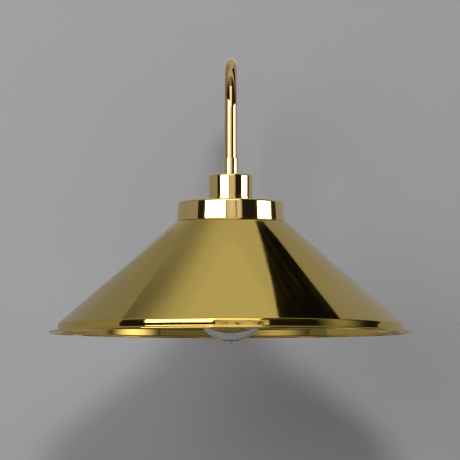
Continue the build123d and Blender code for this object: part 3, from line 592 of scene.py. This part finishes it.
class Finish(Web):
    """A material: constants on the shader's own sockets, and nodes for what varies."""

    def __init__(self, name, **constants):
        self.material = bpy.data.materials.new(name)
        self.material.use_nodes = True
        super().__init__(self.material.node_tree, "Principled BSDF")
        for socket, value in constants.items():
            self.shader.inputs[socket.replace("_", " ")].default_value = value

    def over(self, kind, sockets, share):
        """Another shader over this one, by a share."""
        other = self.node(kind, {}, sockets)
        both = self.node("MixShader", {}, {0: share, 1: Value(self, self.shader.outputs[0]), 2: other})
        self.tree.links.new(both.socket, self.tree.nodes["Material Output"].inputs[0])

    def place(self, centre=(0, 0, 0), turn=(0, 0, 0)):
        """Object coordinates about a centre."""
        here = self.node("TexCoord", {}, {}, "Object")
        about = self.node("VectorMath", {"operation": "SUBTRACT"}, {0: here, 1: centre})
        return self.node("Mapping", {}, {"Vector": about, "Rotation": turn})

    def along(self, axis):
        """One of the object coordinates, in metres."""
        return self.node("SeparateXYZ", {}, {0: self.place()}, axis)

    def noise(self, vector, scale, detail=2, roughness=0.5):
        """Clouds from about 0 to 1, at a scale in clouds for each metre."""
        return self.node("TexNoise", {}, {
            "Vector": vector, "Scale": scale, "Detail": detail, "Roughness": roughness,
        })

    def tint(self, colour, other, share):
        """The base colour, between two colours."""
        self.feed("Base Color", self.mixed(colour, other, share))

    def glow(self, colour, other, share):
        """The light that a card gives off, between two colours."""
        self.feed("Emission Color", self.mixed(colour, other, share))

    def bump(self, height, depth):
        """Bump from a height of about 0 to 1 and its depth in metres."""
        self.feed("Normal", self.node("Bump", {}, {"Strength": 1.0, "Distance": depth, "Height": height}))


print("one method makes every node:", Finish.node.__qualname__)


# %% [markdown]
# ## Polished brass
# Brass that is spun or turned keeps rings from the tool, fine as hair, and broad low ripples from the former.
# Polishing softens both, and a lacquer lies over them. The rings follow the distance from the axis less the
# height, which grows steadily over a flat, a flank and an upright wall alike, so one rule serves every
# turned piece. The ripples are a few thousandths of a millimetre deep, and on the shade about a hundredth:
# they bend a reflected edge a little. The shade is also the yellower brass.


# %% Brass
BRASS_BUMP = 4e-6  # metres
DRIFT = 0.04  # how much the rings vary on their way round
RIPPLE_SCALE, HAIR_SCALE, CLOUD_SCALE, SMEAR_SCALE = 260, 5200, 14, 60


def brass(name, colour, centre=(0, 0, 0), upright=True, ripples=1.0, roughness=0.07):
    """Polished brass with rings about an axis through the centre, upright or out from the wall."""
    finish = Finish(name, Metallic=1.0, Coat_Weight=0.25, Coat_Roughness=0.04, Coat_IOR=1.5)
    here = finish.place(centre, (0, 0, 0) if upright else (-pi / 2, 0, 0))
    flat = finish.node("VectorMath", {"operation": "MULTIPLY"}, {0: here, 1: (1, 1, 0)})
    radius = finish.node("VectorMath", {"operation": "LENGTH"}, {0: flat}, "Value")
    height = finish.node("SeparateXYZ", {}, {0: here}, "Z")
    along = radius - height
    track = finish.node("CombineXYZ", {}, {"X": along})
    drift = finish.node("VectorMath", {"operation": "SCALE"}, {0: here, "Scale": DRIFT})
    wavering = finish.node("VectorMath", {"operation": "ADD"}, {0: track, 1: drift})
    ripple = finish.noise(wavering, RIPPLE_SCALE)
    hairs = finish.noise(wavering, HAIR_SCALE, 3, 0.7)
    cloud = finish.noise(here, CLOUD_SCALE, 3)
    smear = finish.noise(here, SMEAR_SCALE, 4, 0.65)
    darker, lighter = ([c * change for c in colour[:3]] + [1] for change in (0.95, 1.04))
    finish.tint(darker, lighter, cloud)
    finish.feed("Roughness", roughness * 0.6 + smear * (roughness * 0.5) + hairs * (roughness * 0.3))
    finish.bump(ripple * ripples + hairs * 0.05, BRASS_BUMP)
    return finish.material


SHADE_YELLOW = (0.72, 0.525, 0.115, 1)
PALE_BRASS = (0.88, 0.68, 0.28, 1)
shade_brass = brass("spun shade brass", SHADE_YELLOW, SHADE_AXIS, ripples=3.5, roughness=0.055)
collar_brass = brass("collar brass", PALE_BRASS, SHADE_AXIS)
turned_brass = brass("turned brass", PALE_BRASS, SHADE_AXIS, ripples=0.6)
wall_brass = brass("turned brass on the wall", PALE_BRASS, upright=False)
arm_brass = brass("drawn tube brass", (0.66, 0.43, 0.165, 1), ripples=0.15)
plain_brass = brass("plain brass", (0.80, 0.60, 0.24, 1), SHADE_AXIS, roughness=0.22)
print(len(bpy.data.materials), "materials so far")

# %% [markdown]
# ## Plain finishes
# The other pieces are small: zinc-plated steel with its faint yellow bloom, glazed ceramic, moulded nylon,
# the three colours of lead insulation, bare copper, tinned and nickel-plated metal, black and clear glass,
# the yellow phosphor of the filament sticks and a green circuit board. Each has its own colour variation and
# roughness, at the scale that its making gives it.


# %% A mottled finish
def mottled(name, colour, other, scale, roughness, spread, depth=0.0, **constants):
    """A finish that drifts between two colours, with matching changes of roughness and a fine bump."""
    finish = Finish(name, **constants)
    here = finish.place()
    cloud = finish.noise(here, scale, 4, 0.6)
    grain = finish.noise(here, scale * 12, 3, 0.6)
    finish.tint(colour, other, cloud)
    finish.feed("Roughness", roughness + grain * spread)
    if depth:
        finish.bump(grain, depth)
    return finish.material


zinc = mottled("zinc plate", (0.62, 0.63, 0.64, 1), (0.72, 0.70, 0.60, 1), 90, 0.24, 0.16, 6e-6, Metallic=1.0)
tin = mottled("tin plate", (0.72, 0.71, 0.69, 1), (0.62, 0.61, 0.60, 1), 200, 0.28, 0.15, 4e-6, Metallic=1.0)
copper = mottled("bare copper", (0.86, 0.45, 0.30, 1), (0.70, 0.33, 0.20, 1), 300, 0.22, 0.2, Metallic=1.0)
nickel = mottled(
    "lamp cap plating", (0.66, 0.63, 0.58, 1), (0.76, 0.74, 0.70, 1), 120, 0.14, 0.12, Metallic=1.0
)
ceramic = mottled(
    "glazed ceramic", (0.83, 0.81, 0.76, 1), (0.76, 0.73, 0.67, 1), 60, 0.10, 0.12, 8e-6, Coat_Weight=0.6
)
nylon = mottled("block nylon", (0.78, 0.76, 0.70, 1), (0.72, 0.70, 0.63, 1), 80, 0.38, 0.15, 5e-6)
brown = mottled("brown insulation", (0.16, 0.065, 0.03, 1), (0.12, 0.05, 0.022, 1), 120, 0.35, 0.15)
blue = mottled("blue insulation", (0.03, 0.10, 0.42, 1), (0.02, 0.07, 0.33, 1), 120, 0.35, 0.15)
black_glass = mottled("black glass", (0.012, 0.012, 0.014, 1), (0.02, 0.018, 0.018, 1), 200, 0.08, 0.1)
phosphor = mottled("phosphor", (0.90, 0.62, 0.10, 1), (0.86, 0.52, 0.06, 1), 900, 0.55, 0.2, 2e-5)
board = mottled("circuit board", (0.02, 0.16, 0.06, 1), (0.015, 0.11, 0.045, 1), 500, 0.3, 0.2, 1e-5)
print("board:", len(board.node_tree.nodes), "nodes")

# %% [markdown]
# The earth lead is green with a yellow stripe. A wave along the lead's own winding would need its path, so
# the stripe is cut by a slanted wave in space, which crosses the lead the same way all along its short loop.

# %% The earth lead
earth = Finish("earth insulation", Roughness=0.4)
STRIPE_WAVE = 1500  # radians a metre
slant = earth.node("VectorMath", {"operation": "DOT_PRODUCT"}, {0: earth.place(), 1: (1, 0.6, 0.8)}, "Value")
stripes = earth.node("Math", {"operation": "SINE"}, {0: slant * STRIPE_WAVE})
earth.tint((0.03, 0.28, 0.06, 1), (0.85, 0.72, 0.05, 1), stripes > 0.2)
print("a stripe about every", round(tau / STRIPE_WAVE * 1000, 1), "mm along the slant")

# %% [markdown]
# Clear glass is left almost alone: a refractive index of 1.5, full transmission, and the lightest smears in
# its roughness. What it shows are the lamps and the dark cards round it.

# %% Clear glass
clear = Finish("clear glass", Transmission_Weight=1.0, IOR=1.5, Base_Color=(1, 1, 1, 1))
clear.feed("Roughness", clear.noise(clear.place(SHADE_AXIS), 40, 4) * 0.015)
print("clear glass:", len(clear.tree.nodes), "nodes")

# %% [markdown]
# ## Handing out the finishes
# A node of the CAD model says by a slot's name what it is made of, so a table from those names to the
# finishes dresses all of them. The nine pieces modelled here get theirs one by one.

# %% Every CAD piece gets its finish
FINISHES = {
    "zinc_steel": zinc, "rose_brass": wall_brass, "screw_brass": wall_brass, "turned_brass": turned_brass,
    "tinned_tag": tin, "plain_brass": plain_brass, "block_nylon": nylon, "brown_insulation": brown,
    "blue_insulation": blue, "green_yellow_insulation": earth.material, "bare_copper": copper,
    "arm_brass": arm_brass, "white_ceramic": ceramic, "collar_brass": collar_brass,
    "shade_brass": shade_brass, "lamp_plating": nickel, "black_glass": black_glass,
    "clear_glass": clear.material, "phosphor": phosphor, "board_green": board,
}
for node in nodes.values():
    for held in node.material_slots:
        held.material = FINISHES[held.material.name.split(".")[0]]
for piece, finish in (
    (shade, shade_brass), (collar, collar_brass), (cap, turned_brass), (ferrule, turned_brass),
    (boss, wall_brass), (arm, arm_brass), (skirt, plain_brass), (lamp_cap, nickel), (glass, clear.material),
):
    piece.data.materials.append(finish)
print(len(bpy.data.materials), "materials")

# %% [markdown]
# ## The room
# A plain grey wall, on which the light hangs, and a pale floor far below it. The wall is clear from behind,
# so that the part can be looked at from there, and has a hole behind the rose, which lets light in to the
# bracket and the terminals. It starts as that hole: a circle whose edge is carried outwards, then cut to a
# rectangle by four planes. The camera sees the floor a little paler than the lamps leave it.

# %% A piece of the studio
WALL_GREY = 0.395
WALL_HOLE_R, WALL_GAP = 0.044, 0.0005  # metres, as are the next four
WALL_TOP, WALL_HALF_WIDTH = 1.2, 3
FLOOR_Z, FLOOR_HALF = -1.9, 20
UP, RIGHT = Vector((0, 0, 1)), Vector((1, 0, 0))


def staged(name, mesh, material):
    """Makes the bmesh a piece of the studio."""
    data = bpy.data.meshes.new(name)
    mesh.to_mesh(data)
    mesh.free()
    made = bpy.data.objects.new(name, data)
    bpy.context.scene.collection.objects.link(made)
    data.materials.append(material)
    return made


print("the hole behind the rose is", WALL_HOLE_R * 2000, "mm wide")

# %% The wall
HOLE_SIDES = 64
WALL_GROWTH = 90  # how far the hole's edge is carried out, in radii of the hole
wall_mesh = bmesh.new()
bmesh.ops.create_circle(
    wall_mesh, segments=HOLE_SIDES, radius=WALL_HOLE_R,
    matrix=Matrix.Translation((0, WALL_GAP, 0)) @ Matrix.Rotation(pi / 2, 4, "X"),
)
grown = bmesh.ops.extrude_edge_only(wall_mesh, edges=wall_mesh.edges[:])["geom"]
edge_points = [v for v in grown if isinstance(v, bmesh.types.BMVert)]
bmesh.ops.scale(wall_mesh, verts=edge_points, vec=(WALL_GROWTH, 1, WALL_GROWTH))
for outward, limit in (
    (UP, WALL_TOP), (-UP, -FLOOR_Z), (RIGHT, WALL_HALF_WIDTH), (-RIGHT, WALL_HALF_WIDTH)
):
    bmesh.ops.bisect_plane(
        wall_mesh, geom=wall_mesh.verts[:] + wall_mesh.edges[:] + wall_mesh.faces[:],
        plane_co=outward * limit, plane_no=outward, clear_outer=True,
    )
bmesh.ops.recalc_face_normals(wall_mesh, faces=wall_mesh.faces)
if wall_mesh.faces[:][0].normal.y > 0:
    bmesh.ops.reverse_faces(wall_mesh, faces=wall_mesh.faces)
print(len(wall_mesh.faces), "faces in the wall")
wall_paint = Finish("wall paint", Roughness=0.9, Specular_IOR_Level=0.1)
lighter, darker = ((WALL_GREY * c, WALL_GREY * c, WALL_GREY * (c + 0.04), 1) for c in (1, 0.98))
wall_paint.tint(lighter, darker, wall_paint.noise(wall_paint.place(), 3))
wall_paint.over("BsdfTransparent", {}, wall_paint.node("NewGeometry", {}, {}, "Backfacing"))
staged("wall", wall_mesh, wall_paint.material)

# %% The floor
FLOOR_SEEN = 0.8  # how much of the flat grey the camera sees
floor_mesh = bmesh.new()
bmesh.ops.create_grid(
    floor_mesh, x_segments=1, y_segments=1, size=FLOOR_HALF, matrix=Matrix.Translation((0, 0, FLOOR_Z))
)
floor_paint = Finish("pale floor", Roughness=0.7)
floor_paint.tint((0.62, 0.62, 0.61, 1), (0.60, 0.60, 0.59, 1), floor_paint.noise(floor_paint.place(), 2, 3))
seen = floor_paint.node("LightPath", {}, {}, "Is Camera Ray") * FLOOR_SEEN
floor_paint.over("Emission", {"Color": (0.50, 0.50, 0.50, 1)}, seen)
staged("floor", floor_mesh, floor_paint.material)
print("the floor lies", -FLOOR_Z, "m below the rose's middle")

# %% [markdown]
# ## The lamps
# The picture's light comes from softboxes, each an area lamp aimed at the shade. Those that light the wall
# and throw the shadow aren't seen in the brass, and those that the brass mirrors don't light the wall, so
# that each can be set by what it does in the photo: the place of the shadow, or the shape of a highlight.

# %% A lamp
SHADE_MIDDLE = Vector((0, -REACH, 80 - ROSE_ABOVE_RIM))
AIM = MM @ SHADE_MIDDLE


def toward(azimuth, elevation):
    """The direction from the shade at an azimuth from the camera's side, towards +X, and an elevation."""
    flat = cos(radians(elevation))
    return Vector((sin(radians(azimuth)) * flat, -cos(radians(azimuth)) * flat, sin(radians(elevation))))


def softbox(name, azimuth, elevation, distance, width, height, power, colour, mirrored):
    """An area lamp aimed at the shade, which either is mirrored or lights what isn't a mirror."""
    data = bpy.data.lights.new(name, "AREA")
    data.shape, data.size, data.size_y = "RECTANGLE", width, height
    data.energy, data.color = power, colour
    lamp = bpy.data.objects.new(name, data)
    away = toward(azimuth, elevation)
    lamp.location = AIM + away * distance
    lamp.rotation_euler = away.to_track_quat("Z", "Y").to_euler()
    lamp.visible_camera = False
    lamp.visible_diffuse, lamp.visible_glossy = not mirrored, mirrored
    bpy.context.scene.collection.objects.link(lamp)
    return lamp


print("the lamps aim at", [round(c, 3) for c in AIM], "m")

# %% Lamps
COOL, WARM, PINK, WHITE = (0.98, 0.98, 1), (1, 0.97, 0.90), (1, 0.93, 0.90), (1, 1, 1)
lamps = [softbox(*values) for values in (
    ("key", 3, 24, 2.6, 0.42, 0.42, 28.5, COOL, False),
    ("left light", -37, 13, 1.8, 0.9, 1, 13, COOL, False),
    ("floor bounce", 0, -32, 1.5, 1.4, 0.7, 2, WARM, False),
    ("left strip", -33.4, 15, 1.6, 1.286, 0.67, 13, WHITE, True),
    ("right strip", 76.8, 9, 1.6, 0.99, 0.42, 7.5, WHITE, True),
    ("upper front", 3.5, 38, 1.6, 0.87, 1.3, 5.5, PINK, True),
)]
print(sum(lamp.data.energy for lamp in lamps), "W in", len(lamps), "lamps")

# %% [markdown]
# ## The sky
# Mirrors see a sky that is dark low down and pale overhead. All else is lit by one even grey, and the camera,
# which meets the sky only past the wall's edges, sees a paler one.

# %% The sky
world = bpy.data.worlds.new("studio")
bpy.context.scene.world = world
world.use_nodes = True
world.cycles.sampling_method = "NONE"
sky = Web(world.node_tree, "Background")
upness = sky.node("SeparateXYZ", {}, {0: sky.node("TexCoord", {}, {}, "Generated")}, "Z")
ramp = sky.node("ValToRGB", {}, {0: upness})
stops = ramp.socket.node.color_ramp.elements
stops[0].position, stops[0].color = 0.30, (0.014, 0.012, 0.011, 1)
stops[1].position, stops[1].color = 0.62, (0.30, 0.295, 0.29, 1)
stops.new(0.95).color = (0.60, 0.60, 0.60, 1)
mirrored = sky.mixed((0.235, 0.235, 0.23, 1), ramp, sky.node("LightPath", {}, {}, "Is Glossy Ray"))
by_camera = sky.node("LightPath", {}, {}, "Is Camera Ray")
sky.feed("Color", sky.mixed(mirrored, (0.55, 0.55, 0.55, 1), by_camera))
print(len(sky.tree.nodes), "nodes in the sky")

# %% [markdown]
# ## Cards for the reflections
# Polished brass looks like what stands round it. So a few cards stand for the room that the brass in the
# photo mirrors. They are seen only in reflections, glow by themselves and take no light.


# %% A card
def card(name, points, colour=(0, 0, 0)):
    """A flat card from its corners (x, y, height above the rim) in mm."""
    mesh = bmesh.new()
    corners = [mesh.verts.new((x, y, z - ROSE_ABOVE_RIM)) for x, y, z in points]
    bmesh.ops.contextual_create(mesh, geom=corners)
    bmesh.ops.transform(mesh, matrix=MM, verts=mesh.verts)
    paint = Finish(name, Base_Color=(0, 0, 0, 1), Roughness=1.0, Specular_IOR_Level=0.0,
                   Emission_Color=colour + (1,), Emission_Strength=1.0)
    made = staged(name, mesh, paint.material)
    made.visible_camera = made.visible_diffuse = made.visible_shadow = made.visible_transmission = False
    return paint


def on_wall(name, y, points, colour=(0, 0, 0)):
    """A card flat before the wall, from its corners (x, height above the rim)."""
    return card(name, [(x, y, z) for x, z in points], colour)


print("the cards are flat and glow by themselves")

# %% [markdown]
# The flank of the cone mirrors the upper wall, so what hangs there decides how the brass reads. A black card,
# whose faint folds are noise, makes the deep wedge on the right of the shade, and a dark card below it, the
# dark stand, paints a dark reflection there. The upper wall card glows pale, a painted reflection of the lit
# wall, and dims to the left: the edge between it and the left wall card is the fold on the left of the shade.

# %% Cards on the wall
WALL_CARD_Y, BACK_CARD_Y = -3, -4
PALE_WALL = 0.54
black_card = on_wall("black card", WALL_CARD_Y, (
    (258, 615), (275, 566), (400, 560), (1600, 560), (1600, 2100), (520, 2080), (417, 1585), (360, 1273),
    (296, 935), (272, 830),
))
folds = black_card.eased(black_card.noise(black_card.place(), 7, 3), 0.5, 0.7)
black_card.glow((0.005, 0.005, 0.005, 1), (0.03, 0.027, 0.022, 1), folds)
on_wall("dark stand", WALL_CARD_Y, (
    (650, 200), (950, 20), (1800, 20), (1800, 559), (650, 559)
), (0.02, 0.02, 0.018))
on_wall("left wall card", BACK_CARD_Y, (
    (-1200, -200), (-150, -200), (-150, 244), (-253, 411), (-318, 522), (-391, 565), (-1200, 598)
), (0.275, 0.275, 0.275))
upper_wall = on_wall("upper wall card", BACK_CARD_Y, (
    (-1200, 600), (-391, 567), (-317, 524), (-252, 413), (-163, 257), (60, 257), (250, 747), (408, 1585),
    (408, 1600), (-1200, 1600),
))
height, across = upper_wall.along("Z"), upper_wall.along("X")
dimmest = upper_wall.node("MapRange", {}, {
    "Value": across, "From Min": -0.40, "From Max": -0.29, "To Min": 0.15, "To Max": 0.27,
})
dim = dimmest + upper_wall.eased(height, 0.48, 1.42) * (PALE_WALL - dimmest)
lit = dim + upper_wall.eased(across, -0.28, 0.0) * (PALE_WALL - dim)
upper_wall.glow((0, 0, 0, 1), (1, 1, 1, 1), lit)
print(len(upper_wall.tree.nodes), "nodes in the upper wall's card")

# %% [markdown]
# The rest of the room is in the rim, the collar and the cap: the pale left of the room, the ceiling with one
# bright band, and a dark table below. A flag, a small dark card by the shade, keeps the right strip off the
# rim, and one glowing patch on it paints a soft highlight there.

# %% Cards of the room
ROOM_GREY = (0.30, 0.29, 0.28)
TABLE_BROWN = (0.08, 0.065, 0.04)
card("left of the room", [(-1500, y, z) for y, z in (
    (-675, -1000), (-3, -1000), (-3, 800), (-675, 800)
)], ROOM_GREY)
ceiling = card("front ceiling", [(x, y, 1500) for x, y in (
    (-3000, -3500), (3000, -3500), (3000, -520), (-3000, -520)
)])
BAND = (-1.1, -0.6, 0.15, 0.40)  # where it starts, is full, starts to fall and ends, in metres
band = ceiling.between(ceiling.along("X"), *BAND)
ceiling.glow((0.015, 0.015, 0.015, 1), ROOM_GREY + (1,), band)
card("low table", [(x, y, -560) for x, y in (
    (-2500, -2500), (2500, -2500), (2500, 400), (-2500, 400)
)], TABLE_BROWN)
flag = card("flag", [(170, -480, -10), (243, -285, -10), (243, -285, 105), (170, -480, 105)])
# a glowing patch on the flag: a painted highlight on the rim
painted_rim_highlight = flag.between(flag.along("Y"), -0.45, -0.385, -0.385, -0.32)
flag.glow((0.01, 0.01, 0.01, 1), (0.28, 0.29, 0.25, 1), painted_rim_highlight)
print("the ceiling's band is full for", BAND[2] - BAND[1], "m")

# %% [markdown]
# Three cards face the shade. The one in front is mottled and gives the patch in the middle of the collar.
# The two low ones, each brightest in its middle, give the golden glows inside the shade.


# %% Cards that face the shade
CARD_AWAY, GLOW_DOWN = 1600, -11


def facing(name, away, width, height):
    """A card in a direction from the shade, facing it."""
    across = away.cross(UP).normalized() * (width / 2)
    upward = across.cross(away).normalized() * (height / 2)
    middle = SHADE_MIDDLE + UP * ROSE_ABOVE_RIM + away * CARD_AWAY
    return card(name, [
        tuple(middle + across * i + upward * j) for i, j in ((-1, -1), (1, -1), (1, 1), (-1, 1))
    ])


front = facing("front of the room", toward(7, 3), 950, 740)
mottle = front.eased(front.noise(front.place(), 5, 3, 0.6), 0.34, 0.55)
front.glow((0.12, 0.09, 0.08, 1), (0.75, 0.66, 0.64, 1), mottle)
for side, azimuth, width, strength in (("left", -33.4, 1500, 0.62), ("right", 74, 1250, 1.9)):
    away = toward(azimuth, GLOW_DOWN)
    light = facing(side + " glow", away, width, 500)
    to_edge = away.cross(UP).normalized() * (2000 / width)  # 1 at the card's edge
    offset = light.node("VectorMath", {"operation": "DOT_PRODUCT"}, {
        0: light.place(MM @ (SHADE_MIDDLE + away * CARD_AWAY)), 1: to_edge,
    }, "Value")
    brightest = (strength, strength * 0.97, strength * 0.95, 1)
    light.glow(TABLE_BROWN + (1,), brightest, light.eased(abs(offset), 1, 0))
    print(side, "glow", width, "mm wide")

# %% [markdown]
# ## The camera
# A long lens from just below the rim, tipped up a little, as in the photo.

# %% The camera
LENS, SENSOR, TIPPED = 175.2, 36, 94.24
camera_data = bpy.data.cameras.new("camera")
camera_data.lens, camera_data.sensor_width = LENS, SENSOR
camera = bpy.data.objects.new("camera", camera_data)
camera.location = (-0.0006, -2.095, -0.1113)
camera.rotation_euler = (radians(TIPPED), 0, 0)
bpy.context.scene.collection.objects.link(camera)
bpy.context.scene.camera = camera
bpy.context.scene.view_settings.view_transform = "Standard"
print("the view is", round(degrees(2 * atan2(SENSOR / 2, LENS)), 1), "degrees wide")

# %% [markdown]
# ## The CAD model's box
# The dressed part has to stay inside the CAD model's box.

# %% Sizes
print("the dressed part has to stay inside the CAD model's box")
